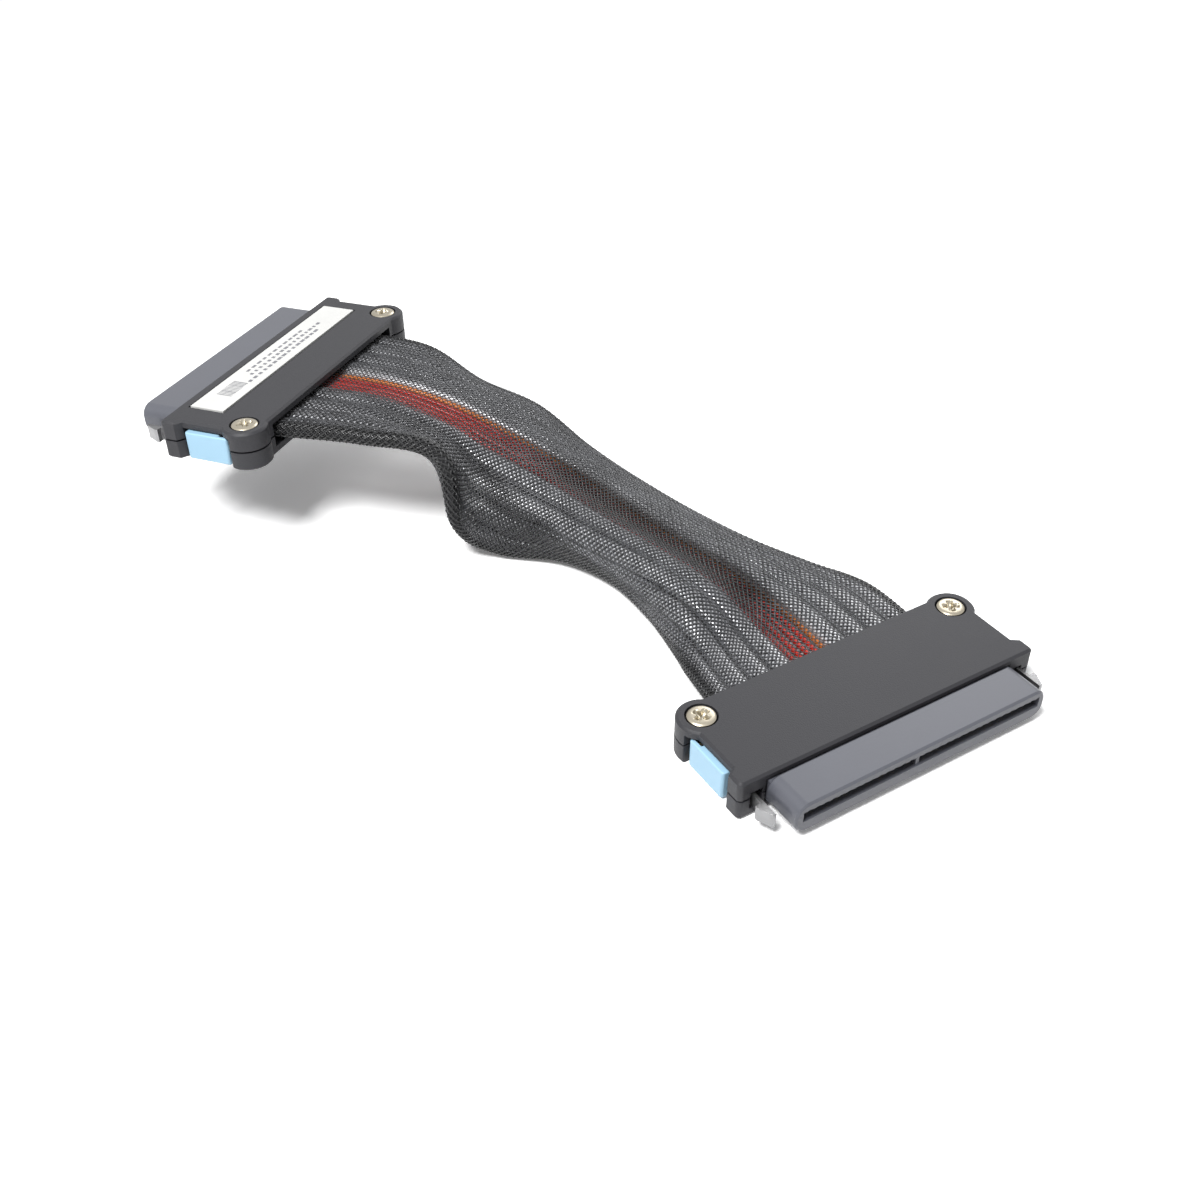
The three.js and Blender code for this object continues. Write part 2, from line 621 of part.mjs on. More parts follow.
function sleeve(name) {
  const outer = STRAP_STEPS.map((t) => sleeveLoop(t, SLEEVE_HALF));
  const inner = STRAP_STEPS.map((t) => sleeveLoop(t, SLEEVE_HALF - SLEEVE_WALL));
  const count = outer[0].length;
  const steps = outer.length;
  const base = count * steps;
  const triangles = wallTriangles(count, steps, 0, true).concat(wallTriangles(count, steps, base, false));
  const end = (steps - 1) * count;
  for (let k = 0; k < count; k += 1) {
    const next = (k + 1) % count;
    triangles.push(k, base + k, next, next, base + k, base + next);
    triangles.push(end + k, end + next, base + end + k, end + next, base + end + next, base + end + k);
  }
  return piece(name, indexed([...outer.flat(), ...inner.flat()], triangles), braid);
}

// Flat paired conductor that keeps its face along the strap
function pairedConductor(name, x) {
  const w = PAIR_WIDTH / 2;
  const h = PAIR_HEIGHT / 2;
  const bevel = h / 2;
  const outline = [
    [w, -bevel], [w, bevel], [w - bevel, h], [bevel - w, h],
    [-w, bevel], [-w, -bevel], [bevel - w, -h], [w - bevel, -h],
  ].reverse();
  const points = [];
  for (const t of STRAP_STEPS) {
    const frame = strapFrame(t, x / STRAP_CORE_X);
    for (const [across, up] of outline) points.push(offset(frame, across, up));
  }
  const count = outline.length;
  const end = points.length - count;
  const triangles = wallTriangles(count, STRAP_STEPS.length, 0, true);
  for (let k = 1; k < count - 1; k += 1) {
    triangles.push(0, k + 1, k);
    triangles.push(end, end + k, end + k + 1);
  }
  return piece(name, indexed(points, triangles), silverJacket);
}

function singleWire(name, x, material) {
  const points = STRAP_STEPS.map((t) => strapPoint(t, x / STRAP_CORE_X));
  const section = new THREE.Shape();
  section.absarc(0, 0, WIRE_D / 2, 0, Math.PI * 2, false);
  const geometry = new THREE.ExtrudeGeometry(section, {
    steps: WIRE_STEPS,
    curveSegments: 4,
    bevelEnabled: false,
    extrudePath: new THREE.CatmullRomCurve3(points),
  });
  return piece(name, toGeometry(toSolid(geometry)), material);
}

function strap() {
  const group = new THREE.Group();
  group.add(sleeve('braided_sleeve'));
  for (let i = 0; i < PAIRS_PER_SIDE; i += 1) {
    const x = PAIR_FIRST_X + i * PAIR_PITCH;
    group.add(pairedConductor(`pair_near_${i + 1}`, -x));
    group.add(pairedConductor(`pair_far_${i + 1}`, x));
  }
  for (let i = 0; i < WIRE_COUNT; i += 1) {
    const x = (i - (WIRE_COUNT - 1) / 2) * WIRE_PITCH;
    const last = i === WIRE_COUNT - 1;
    group.add(singleWire(`sideband_wire_${i + 1}`, x, last ? orangeJacket : redJacket));
  }
  return group;
}

const cable = new THREE.Group();
const nearConnector = connector('near', false);
const farConnector = connector('far', true);
farConnector.position.set(...FAR_ORIGIN);
farConnector.setRotationFromEuler(turnedFar());
cable.add(nearConnector, farConnector, strap());

export default cable;
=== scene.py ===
# %% [markdown]
# # A short flat server cable with two wide plugs
# This notebook dresses the plain solids of a flat cable. The solids already have their places, so each
# step below adds one piece or one finish around them and leaves the solids where they are.

import math

import bmesh
import bpy
import numpy as np
from mathutils import Euler, Matrix, Vector


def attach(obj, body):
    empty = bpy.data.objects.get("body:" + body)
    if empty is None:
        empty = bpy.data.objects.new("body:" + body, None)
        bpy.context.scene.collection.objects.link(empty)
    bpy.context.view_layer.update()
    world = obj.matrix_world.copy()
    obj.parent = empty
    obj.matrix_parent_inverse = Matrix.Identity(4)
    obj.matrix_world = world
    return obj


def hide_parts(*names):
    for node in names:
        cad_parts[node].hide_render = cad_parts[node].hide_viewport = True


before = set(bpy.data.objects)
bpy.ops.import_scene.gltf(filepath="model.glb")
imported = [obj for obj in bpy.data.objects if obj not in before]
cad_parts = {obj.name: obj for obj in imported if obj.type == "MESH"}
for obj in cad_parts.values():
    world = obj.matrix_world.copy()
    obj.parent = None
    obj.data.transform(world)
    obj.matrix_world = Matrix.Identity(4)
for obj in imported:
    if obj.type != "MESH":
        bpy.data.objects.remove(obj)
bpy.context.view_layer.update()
MM = 0.001
bpy.context.scene.view_settings.view_transform = "Standard"

# %% [markdown]
# ## The camera
# The picture was taken from above the near plug's left end, close enough that the far plug looks smaller.
# A focal length of 1350 pixels on a 1200 pixel picture is a 40.5 mm lens on a 36 mm sensor.

# %% Place the camera
PICTURE_PX = 1200
FOCAL_PX = 1350
SENSOR_MM = 36
CAMERA_PLACE = Vector((-101.53, -103.88, 127.89)) * MM
CAMERA_FORWARD = Vector((0.4118, 0.6697, -0.6180))

camera = bpy.data.objects.new("camera", bpy.data.cameras.new("camera"))
bpy.context.scene.collection.objects.link(camera)
camera.data.sensor_width = SENSOR_MM
camera.data.lens = SENSOR_MM * FOCAL_PX / PICTURE_PX
camera.data.clip_start = 0.01
camera.location = CAMERA_PLACE
camera.rotation_euler = CAMERA_FORWARD.to_track_quat("-Z", "Y").to_euler()
bpy.context.scene.camera = camera
print("lens", round(camera.data.lens, 2), "mm")

# %% [markdown]
# ## The way the strap lies
# The strap leaves the near plug flat and arches between two low edges. At a fold it stands on its near
# edge, then it climbs and twists into the far plug. Rows of five points, from its near edge to its far
# edge, say where its middle surface runs. A spline through the rows and a second one across them give a
# smooth sheet that every conductor can follow.

# %% Rows of points across the strap, in metres
FAR_PLACE = Vector((-37.26, 88.36, 15.39)) * MM
FAR_TURN = Euler([math.radians(d) for d in (2.21, -2.26, -142.31)], "XYZ").to_matrix()
STRAP_START = 1.2 * MM
STRAP_LEVEL = 3.2 * MM
STRAP_HALF = 17 * MM
EDGE_BOW = 0.085
SHARES = (-1, -0.5, 0, 0.5, 1)
ROWS = MM * np.array([
    [[-15.5, 10.4, 2.8], [-7.9, 11.9, 3.6], [0.2, 12.9, 3.6], [8.5, 13.1, 3.3], [17.4, 13.1, 2.6]],
    [[-13.8, 17.4, 2.2], [-9.3, 20.0, 6.8], [-2.0, 22.6, 5.9], [6.1, 22.8, 4.6], [14.2, 22.0, 1.9]],
    [[-12.3, 26.7, 1.8], [-11.4, 28.2, 8.1], [-5.5, 31.4, 7.6], [2.5, 32.6, 5.8], [10.0, 32.1, 1.7]],
    [[-12.6, 36.6, 1.8], [-13.9, 36.3, 8.7], [-8.4, 39.5, 8.8], [-0.5, 42.2, 6.9], [6.6, 43.5, 1.7]],
    [[-16.4, 45.5, 1.9], [-16.9, 44.6, 8.9], [-10.5, 47.9, 9.8], [-3.0, 51.8, 7.8], [4.0, 55.0, 2.0]],
    [[-24.0, 52.6, 1.9], [-20.1, 52.3, 10.2], [-13.4, 56.3, 11.6], [-6.9, 60.4, 10.0], [-0.6, 64.6, 5.6]],
    [[-29.2, 56.1, 6.2], [-23.7, 60.3, 12.0], [-17.8, 64.6, 14.0], [-11.7, 68.9, 13.0], [-5.3, 73.7, 10.6]],
    [[-30.2, 59.8, 17.4], [-29.1, 66.4, 16.6], [-23.5, 71.8, 17.0], [-17.2, 77.0, 16.3], [-11.6, 82.3, 13.2]],
    [[-39.8, 66.9, 19.9], [-35.4, 73.2, 19.2], [-29.7, 78.9, 18.8], [-23.2, 84.3, 18.4], [-16.9, 89.9, 17.5]],
])


def beyond(p, q, r, bent):
    """The point that comes before p on a line that goes on through q and r."""
    return 3 * p - 3 * q + r if bent else 2 * p - q


def spline(points, at, bent):
    """Places on a smooth line through points; at counts from 0 at the first one."""
    last = len(points) - 1
    ahead = beyond(points[0], points[1], points[2], bent)
    behind = beyond(points[last], points[last - 1], points[last - 2], bent)
    padded = np.concatenate([ahead[None], points, behind[None]])
    i = np.minimum(np.floor(at).astype(int), last - 1)
    f = (at - i).reshape(-1, *[1] * (points.ndim - 1))
    weights = (
        0.5 * (-f + 2 * f**2 - f**3),
        0.5 * (2 - 5 * f**2 + 3 * f**3),
        0.5 * (f + 4 * f**2 - 3 * f**3),
        0.5 * (-(f**2) + f**3),
    )
    return sum(w * padded[i + k] for k, w in enumerate(weights))


def with_bows(columns):
    """Five columns made nine: between two of them the sheet bows a little."""
    last = len(columns) - 1
    ahead = beyond(*columns[:3], True)
    behind = beyond(*columns[:-4:-1], True)
    made = [columns[0]]
    for k in range(last):
        before = columns[k - 1] if k else ahead
        after = columns[k + 2] if k < last - 1 else behind
        between = (columns[k] + columns[k + 1]) * (0.5 + EDGE_BOW) - EDGE_BOW * (before + after)
        made += [between, columns[k + 1]]
    return np.array(made)


near_row = [[s * STRAP_HALF, STRAP_START, STRAP_LEVEL] for s in SHARES]
far_row = [FAR_PLACE + FAR_TURN @ Vector((-s * STRAP_HALF, STRAP_START, STRAP_LEVEL)) for s in SHARES]
CONTROL = np.concatenate([[near_row], ROWS, [[list(p) for p in far_row]]])
print("control points", CONTROL.shape[0] * CONTROL.shape[1])

# %% A fine grid of the sheet, evenly spaced both ways
ALONG = 261
ACROSS = 97
HALF_STEPS = 80
ROUGH_ROWS = 141


def across_at(columns):
    """One line across the sheet, evenly spaced from its middle to each edge."""
    nine = with_bows(columns)
    line = spline(nine, np.linspace(0, len(nine) - 1, 2 * HALF_STEPS + 1), True)
    half = ACROSS // 2
    out = np.zeros((ACROSS, 3))
    for side, part in ((-1, line[HALF_STEPS::-1]), (1, line[HALF_STEPS:])):
        run = np.concatenate([[0], np.cumsum(np.linalg.norm(np.diff(part, axis=0), axis=1))])
        for n in range(half + 1):
            at = run[-1] * n / half
            out[half + side * n] = [np.interp(at, run, part[:, k]) for k in range(3)]
    return out


def sheet_lines(ts):
    controls = spline(CONTROL, ts * (len(CONTROL) - 1), False)
    return np.array([across_at(c) for c in controls])


rough_t = np.linspace(0, 1, ROUGH_ROWS)
rough = sheet_lines(rough_t)
run = np.concatenate([[0], np.cumsum(np.linalg.norm(np.diff(rough, axis=0), axis=2).mean(axis=1))])
STRAP_LENGTH = run[-1]
SHEET = sheet_lines(np.interp(np.linspace(0, STRAP_LENGTH, ALONG), run, rough_t))
LENGTHWAYS = np.gradient(SHEET, axis=0)
SIDEWAYS = np.gradient(SHEET, axis=1)
UPWARD = np.cross(SIDEWAYS, LENGTHWAYS)
UPWARD /= np.linalg.norm(UPWARD, axis=2, keepdims=True)
LENGTHWAYS /= np.linalg.norm(LENGTHWAYS, axis=2, keepdims=True)
SIDEWAYS = np.cross(LENGTHWAYS, UPWARD)
print("strap", round(STRAP_LENGTH / MM, 1), "mm from plug to plug")


def line_at(x, grid):
    """A grid's values along the strap at x metres from its middle."""
    at = (x / STRAP_HALF + 1) / 2 * (ACROSS - 1)
    i = min(int(at), ACROSS - 2)
    return grid[:, i] * (i + 1 - at) + grid[:, i + 1] * (at - i)


# %% [markdown]
# ## Small helpers for pieces
# A finished piece is a mesh at the origin that rides on one body and takes one finish.

# %% Helpers for pieces
PLACED = bpy.context.scene.collection


def piece(name, mesh, body, slot, material, *stands_for):
    obj = bpy.data.objects.new(name, mesh) if isinstance(mesh, (bpy.types.Mesh, bpy.types.Curve)) else mesh
    if obj.name not in PLACED.all_objects:
        PLACED.objects.link(obj)
    obj.data.materials.clear()
    obj.data.materials.append(material)
    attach(obj, body)
    if stands_for:
        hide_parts(*stands_for)
    return obj


def mesh_of(name, points, faces, smooth=True):
    mesh = bpy.data.meshes.new(name)
    mesh.from_pydata([tuple(p) for p in points], [], faces)
    mesh.validate()
    if smooth:
        mesh.shade_smooth()
    return mesh


def lines_at(x):
    """The sheet's points and upward directions at x, which may lie a little past its edge."""
    inside = max(-STRAP_HALF, min(STRAP_HALF, x))
    up = line_at(inside, UPWARD)
    return line_at(inside, SHEET) + line_at(inside, SIDEWAYS) * (x - inside), up


def tube(name, x, section):
    """A closed tube along the strap at x; its section, (sideways, upward) pairs, bends with the sheet."""
    columns = []
    for a, b in section:
        place, up = lines_at(x + a)
        columns.append(place + up * b)
    n = len(section)
    rings = np.array(columns).transpose(1, 0, 2).reshape(-1, 3)
    faces = []
    for r in range(ALONG - 1):
        for k in range(n):
            a, b = r * n + k, r * n + (k + 1) % n
            faces.append((a, b, b + n, a + n))
    faces.append(tuple(range(n))[::-1])
    faces.append(tuple((ALONG - 1) * n + k for k in range(n)))
    mesh = mesh_of(name, rings, faces)
    facing = bmesh.new()
    facing.from_mesh(mesh)
    bmesh.ops.recalc_face_normals(facing, faces=facing.faces)
    facing.to_mesh(mesh)
    facing.free()
    return mesh


def add(tree, kind, settings=None, inputs=None):
    """A new node with its settings, its values and its links made in one go."""
    node = tree.nodes.new(kind)
    for name, value in (settings or {}).items():
        setattr(node, name, value)
    for name, value in (inputs or {}).items():
        socket = node.inputs[name]
        if isinstance(value, bpy.types.NodeSocket):
            tree.links.new(value, socket)
        else:
            socket.default_value = value
    return node


def calc(tree, operation, a, b=0.0):
    return add(tree, "ShaderNodeMath", {"operation": operation}, {0: a, 1: b}).outputs[0]


def spread(tree, value, low, high, start=0.0, end=1.0):
    """A value that runs from start to end, spread over low to high."""
    limits = {"From Min": start, "From Max": end, "To Min": low, "To Max": high}
    return add(tree, "ShaderNodeMapRange", None, {"Value": value, **limits}).outputs[0]


# %% [markdown]
# ## Shared finishes
# Moulded plastic, foil and braid all need fine grain and uneven colour. One node group gives both from
# Object coordinates: a mask that drifts over the surface, and a bumped normal with grain at its own size.

# %% The grain group
def shader_group(name, inputs, outputs):
    tree = bpy.data.node_groups.new(name, "ShaderNodeTree")
    for label, kind, value in inputs:
        socket = tree.interface.new_socket(label, in_out="INPUT", socket_type=kind)
        socket.default_value = value
    for label, kind in outputs:
        tree.interface.new_socket(label, in_out="OUTPUT", socket_type=kind)
    return tree, tree.nodes.new("NodeGroupInput"), tree.nodes.new("NodeGroupOutput")


FLOAT = "NodeSocketFloat"
VECTOR = "NodeSocketVector"
grain_group, gi, go = shader_group(
    "grain",
    [
        ("Grain Size", FLOAT, 4000.0), ("Drift Size", FLOAT, 90.0),
        ("Depth", FLOAT, 0.00002), ("Contrast", FLOAT, 0.5),
    ],
    [("Mask", FLOAT), ("Normal", VECTOR)],
)
where = add(grain_group, "ShaderNodeTexCoord").outputs["Object"]


def noise(size, detail):
    values = {"Vector": where, "Scale": gi.outputs[size], "Detail": detail}
    return add(grain_group, "ShaderNodeTexNoise", None, values).outputs[0]


fine = noise("Grain Size", 3.0)
broad = noise("Drift Size", 4.0)
bump = add(grain_group, "ShaderNodeBump", None, {"Distance": gi.outputs["Depth"], "Height": fine})
centred = calc(grain_group, "SUBTRACT", broad, 0.5)
swing = calc(grain_group, "MULTIPLY", centred, gi.outputs["Contrast"])
mask = calc(grain_group, "ADD", swing, 0.5)
for label, value in (("Mask", mask), ("Normal", bump.outputs[0])):
    grain_group.links.new(value, go.inputs[label])
print("grain group", len(grain_group.nodes), "nodes")


# %% A finish made of two shades, grain and a plain shader
def finish(name, dark, light, rough, values, metallic=0.0, specular=0.5):
    """A material whose colour and gloss drift between two shades, over the grain group."""
    material = bpy.data.materials.new(name)
    material.use_nodes = True
    tree = material.node_tree
    shader = tree.nodes["Principled BSDF"]
    grain = add(tree, "ShaderNodeGroup", {"node_tree": grain_group}, values)
    shade = add(tree, "ShaderNodeMix", {"data_type": "RGBA"}, {"Factor": grain.outputs["Mask"]})
    shade.inputs[6].default_value = (*dark, 1)
    shade.inputs[7].default_value = (*light, 1)
    gloss = spread(tree, grain.outputs["Mask"], *rough)
    tree.links.new(shade.outputs[2], shader.inputs["Base Color"])
    tree.links.new(gloss, shader.inputs["Roughness"])
    tree.links.new(grain.outputs["Normal"], shader.inputs["Normal"])
    shader.inputs["Metallic"].default_value = metallic
    shader.inputs["Specular IOR Level"].default_value = specular
    return material


FINE = {"Grain Size": 5200.0, "Drift Size": 70.0, "Depth": 0.00003, "Contrast": 1.0}
SMOOTH = {"Grain Size": 2600.0, "Drift Size": 120.0, "Depth": 0.000008, "Contrast": 0.8}
ROUGH = {"Grain Size": 3400.0, "Drift Size": 260.0, "Depth": 0.00005, "Contrast": 1.4}
hood_finish = finish("matt moulded hood", (0.024, 0.024, 0.028), (0.036, 0.036, 0.041),
                     (0.46, 0.60), FINE, specular=0.38)
nose_finish = finish("satin moulded nose", (0.090, 0.094, 0.112), (0.118, 0.123, 0.144),
                     (0.32, 0.45), SMOOTH)
moulding_finish = finish("plain black moulding", (0.022, 0.022, 0.024), (0.034, 0.034, 0.037),
                         (0.5, 0.65), ROUGH)
pad_finish = finish("pale blue pad", (0.34, 0.58, 0.76), (0.42, 0.65, 0.82), (0.30, 0.42), SMOOTH)
nickel_finish = finish("bright nickel", (0.36, 0.32, 0.25), (0.50, 0.46, 0.37),
                       (0.26, 0.38), SMOOTH, metallic=1.0)
brass_finish = finish("turned brass", (0.62, 0.46, 0.20), (0.74, 0.58, 0.30),
                      (0.25, 0.38), SMOOTH, metallic=1.0)
gilt_finish = finish("gilded contact", (0.78, 0.58, 0.25), (0.88, 0.70, 0.36),
                     (0.18, 0.30), SMOOTH, metallic=1.0)
steel_finish = finish("stamped spring steel", (0.20, 0.20, 0.205), (0.34, 0.34, 0.345),
                      (0.28, 0.42), ROUGH, metallic=1.0)
paper_finish = finish("white label paper", (0.66, 0.66, 0.65), (0.74, 0.74, 0.72), (0.5, 0.6), ROUGH)
mark_finish = finish("pale printed marks", (0.17, 0.17, 0.19), (0.26, 0.26, 0.28), (0.6, 0.7), ROUGH)
foil_finish = finish("silver pair jacket", (0.62, 0.63, 0.66), (0.88, 0.89, 0.92),
                     (0.24, 0.42), ROUGH, metallic=0.3)
red_finish = finish("red wire jacket", (0.42, 0.014, 0.008), (0.60, 0.028, 0.014), (0.3, 0.42), SMOOTH)
orange_finish = finish("orange wire jacket", (0.52, 0.13, 0.02), (0.66, 0.20, 0.03), (0.3, 0.42), SMOOTH)
print("finishes", len(bpy.data.materials))

# %% [markdown]
# ## The conductors
# Eight flat pairs carry the fast signals, four on each side, and five thin wires lie between them. Each one
# is a piece of its own, from plug to plug. A pair is an oval tube, because two round wires lie side by side
# in its foil. A wire is a curve with a round bevel.

# %% Eight flat pairs
PAIR_WIDTH = 3.3 * MM
PAIR_THICK = 1.9 * MM
PAIR_FIRST = 5.0 * MM
PAIR_PITCH = 3.75 * MM
PAIR_SIDES = 18
PAIRS_A_SIDE = 4
PAIR_POWER = 0.8


def oval(width, thick, sides, power):
    """A rounded oblong section: a lower power makes its faces flatter."""
    out = []
    for k in range(sides):
        angle = 2 * math.pi * k / sides
        c, s = math.cos(angle), math.sin(angle)
        sideways = math.copysign(abs(c) ** power, c) * width / 2
        upward = math.copysign(abs(s) ** power, s) * thick / 2
        out.append((sideways, upward))
    return out


def length_of(path):
    return float(np.linalg.norm(np.diff(path, axis=0), axis=1).sum())


pair_section = oval(PAIR_WIDTH, PAIR_THICK, PAIR_SIDES, PAIR_POWER)
for side, word in ((-1, "near"), (1, "far")):
    for n in range(PAIRS_A_SIDE):
        x = side * (PAIR_FIRST + n * PAIR_PITCH)
        path = line_at(x, SHEET)
        mesh = tube(f"flat_pair_{word}_{n + 1}", x, pair_section)
        pair = piece(mesh.name, mesh, "cable", "pair_jacket", foil_finish, f"pair_{word}_{n + 1}")
        print(pair.name, round(length_of(path) / MM, 1), "mm")

# %% Five thin wires
WIRE_THICK = 0.8 * MM
WIRE_PITCH = 1.35 * MM
WIRE_COUNT = 5
MIDDLE_WIRE = WIRE_COUNT // 2
wires = []
for n in range(WIRE_COUNT):
    path = line_at((n - MIDDLE_WIRE) * WIRE_PITCH, SHEET)
    curve = bpy.data.curves.new(f"thin_wire_{n + 1}", "CURVE")
    curve.dimensions = "3D"
    curve.bevel_depth = WIRE_THICK / 2
    curve.bevel_resolution = 3
    curve.use_fill_caps = True
    thread = curve.splines.new("POLY")
    thread.points.add(len(path) - 1)
    thread.points.foreach_set("co", np.c_[path, np.ones(len(path))].ravel())
    orange = n == WIRE_COUNT - 1
    slot, jacket = ("orange_jacket", orange_finish) if orange else ("red_jacket", red_finish)
    wires.append(piece(curve.name, curve, "cable", slot, jacket, f"sideband_wire_{n + 1}"))
    wires[-1]["length"] = length_of(path)
print("wires", len(wires))

# %% A dark tape folded round each edge, under the braid: it hides the foil there and is partly painted shade for the curled edges
SHADE_TAPE_OUTER = 1.03 * MM
SHADE_TAPE_INNER = 0.97 * MM
SHADE_TAPE_TURN = math.radians(88)
SHADE_TAPE_STEPS = 10
shade_tape_finish = finish("black edge tape", (0.014, 0.014, 0.016), (0.026, 0.026, 0.029), (0.45, 0.6), ROUGH)
for sign, word in ((-1, "near"), (1, "far")):
    turns = [SHADE_TAPE_TURN * (2 * n / SHADE_TAPE_STEPS - 1) for n in range(SHADE_TAPE_STEPS + 1)]
    outer = [(sign * SHADE_TAPE_OUTER * math.cos(a), SHADE_TAPE_OUTER * math.sin(a)) for a in turns]
    inner = [(sign * SHADE_TAPE_INNER * math.cos(a), SHADE_TAPE_INNER * math.sin(a)) for a in turns[::-1]]
    mesh = tube(f"edge_tape_{word}", sign * STRAP_HALF, outer + inner)
    piece(mesh.name, mesh, "cable", "sleeve", shade_tape_finish)

# %% [markdown]
# ## The braided sleeve
# The sleeve is an open braid of flat black strands. Two families of strands lean opposite ways and pass
# over and under each other. A braid follows a rule, so Geometry Nodes make it: every strand starts as a
# grid, its places are worked out in the sleeve's own flat map, and the map is then laid on the surface.

# %% The surface that the braid lies on
BRAID_LIFT = 1.22 * MM
GROUP_EDGE = 3.2 * MM
VALLEY_LIFT = 0.62 * MM
CREASE_DEEP = 0.55 * MM
CREASE_SHALLOW = 0.16 * MM
CREASE_REACH = 16 * MM
ARC_STEPS = 5


def hug(x, run):
    """How far from the middle the braid lies, at x across the strap and run along it."""
    pull = math.exp(-min(run, STRAP_LENGTH - run) / CREASE_REACH)
    depth = CREASE_SHALLOW + (CREASE_DEEP - CREASE_SHALLOW) * pull
    ax = abs(x)
    if ax < GROUP_EDGE:
        share = 0.5 - 0.5 * math.cos(math.pi * ax / GROUP_EDGE)
        return VALLEY_LIFT + (BRAID_LIFT - depth - VALLEY_LIFT) * share**2
    phase = (ax - PAIR_FIRST) / PAIR_PITCH
    crease = abs(math.sin(math.pi * phase)) ** 4
    return BRAID_LIFT - depth * crease


EASE_NEAR = 17 * MM
EASE_NEAR_RISE = 1.6
EASE_FAR = 46 * MM
EASE_FAR_RISE = 2.0
EASE_HALF = 4.2 * MM
EASE_CLOSED_AND_SHADED = 0.55
EASE_RIM_AND_SHADE = 1.1 * MM
# Painted shade on the near wall of the fold, where the strap stands on edge. Along these runs, the strands
# inside these x values are darkened and drawn close, by these shares.
SHADED_WALL_RUNS = [r * MM for r in (30, 40, 49, 58, 68, 77, 92)]
SHADED_WALL_INNER = [x * MM for x in (-14, -12, -9.5, -8, -5, -5, -5)]
SHADED_WALL_SHARE = (0.0, 0.75, 0.75, 0.75, 0.75, 0.55, 0.0)
SHADED_WALL_FADE = 1.2 * MM


def ease(x, run):
    """How far the braid is open over the wires: 1 at each plug, and below 0 where it is drawn close; below 0
    its strands also get painted shade, in the valley between the two groups, along both edges and on the near
    wall of the fold.
    """
    near = min(1.0, EASE_NEAR_RISE * (1 - run / EASE_NEAR))
    far = min(1.0, EASE_FAR_RISE * (1 - (STRAP_LENGTH - run) / EASE_FAR))
    ends = max(0.0, near, far)
    # Away from the plugs the braid is drawn close over the valley between the two groups, and its strands
    # there get painted shade.
    middle = (ends - EASE_CLOSED_AND_SHADED * (1 - ends)) * max(0.0, 1 - (abs(x) / EASE_HALF) ** 4)
    # Along both edges the braid is drawn close, and its strands get painted shade.
    rim = max(0.0, 1 - (STRAP_HALF - abs(x)) / EASE_RIM_AND_SHADE)
    inner = float(np.interp(run, SHADED_WALL_RUNS, SHADED_WALL_INNER))
    shaded_wall = min(1.0, max(0.0, (inner - x) / SHADED_WALL_FADE)) * float(np.interp(run, SHADED_WALL_RUNS, SHADED_WALL_SHARE))
    return middle - EASE_CLOSED_AND_SHADED * max(rim, shaded_wall)


def loop_at(row):
    """Points round the strap in one row, and the outward direction at each."""
    run = row / (ALONG - 1) * STRAP_LENGTH
    xs = np.linspace(-STRAP_HALF, STRAP_HALF, ACROSS)
    top = [SHEET[row, k] + UPWARD[row, k] * hug(x, run) for k, x in enumerate(xs)]
    bottom = [SHEET[row, k] - UPWARD[row, k] * hug(x, run) for k, x in enumerate(xs)]
    ends = {}
    for k, sign in ((-1, 1), (0, -1)):
        reach = hug(STRAP_HALF, run)
        turns = [math.pi * (n + 1) / (ARC_STEPS + 1) for n in range(ARC_STEPS)]
        ends[sign] = [
            SHEET[row, k] + reach * sign * (UPWARD[row, k] * math.cos(a) + SIDEWAYS[row, k] * math.sin(a))
            for a in turns
        ]
    return np.array(top + ends[1] + bottom[::-1] + ends[-1] + top[:1])


loops = np.array([loop_at(r) for r in range(ALONG)])
around = np.linalg.norm(np.diff(loops, axis=1), axis=2).mean(axis=0)
SLEEVE_ROUND = float(around.sum())
map_u = np.concatenate([[0], np.cumsum(around)]) / SLEEVE_ROUND
count = loops.shape[1]
faces = [
    (r * count + k, r * count + k + 1, (r + 1) * count + k + 1, (r + 1) * count + k)
    for r in range(ALONG - 1)
    for k in range(count - 1)
]
bed_mesh = mesh_of("sleeve_bed", loops.reshape(-1, 3), faces)
bed_map = bed_mesh.uv_layers.new(name="lie")
for loop in bed_mesh.loops:
    row, k = divmod(loop.vertex_index, count)
    bed_map.data[loop.index].uv = (map_u[k], row / (ALONG - 1))
outward = bed_mesh.attributes.new("outward", "FLOAT_VECTOR", "POINT")
side_way = np.gradient(loops, axis=1)
side_way[:, 0] = side_way[:, -1] = loops[:, 1] - loops[:, -2]
away = np.cross(side_way, np.gradient(loops, axis=0))
away /= np.linalg.norm(away, axis=2, keepdims=True)
outward.data.foreach_set("vector", away.ravel())
cross_x = list(np.linspace(-STRAP_HALF, STRAP_HALF, ACROSS))
loop_x = cross_x + [STRAP_HALF] * ARC_STEPS + cross_x[::-1] + [-STRAP_HALF] * ARC_STEPS + cross_x[:1]
# This value also paints shade on the strands wherever it is below zero.
openness_and_shade = bed_mesh.attributes.new("ease", "FLOAT", "POINT")
openness_and_shade.data.foreach_set("value", [
    ease(x, r / (ALONG - 1) * STRAP_LENGTH) for r in range(ALONG) for x in loop_x
])
print("sleeve", round(SLEEVE_ROUND / MM, 1), "mm round")


# %% A tree that braids
def geometry_tree(name, sizes):
    tree = bpy.data.node_groups.new(name, "GeometryNodeTree")
    tree.interface.new_socket("Geometry", in_out="INPUT", socket_type="NodeSocketGeometry")
    for label, kind, value in sizes:
        tree.interface.new_socket(label, in_out="INPUT", socket_type=kind).default_value = value
    tree.interface.new_socket("Material", in_out="INPUT", socket_type="NodeSocketMaterial")
    tree.interface.new_socket("Geometry", in_out="OUTPUT", socket_type="NodeSocketGeometry")
    return tree, tree.nodes.new("NodeGroupInput").outputs, tree.nodes.new("NodeGroupOutput")


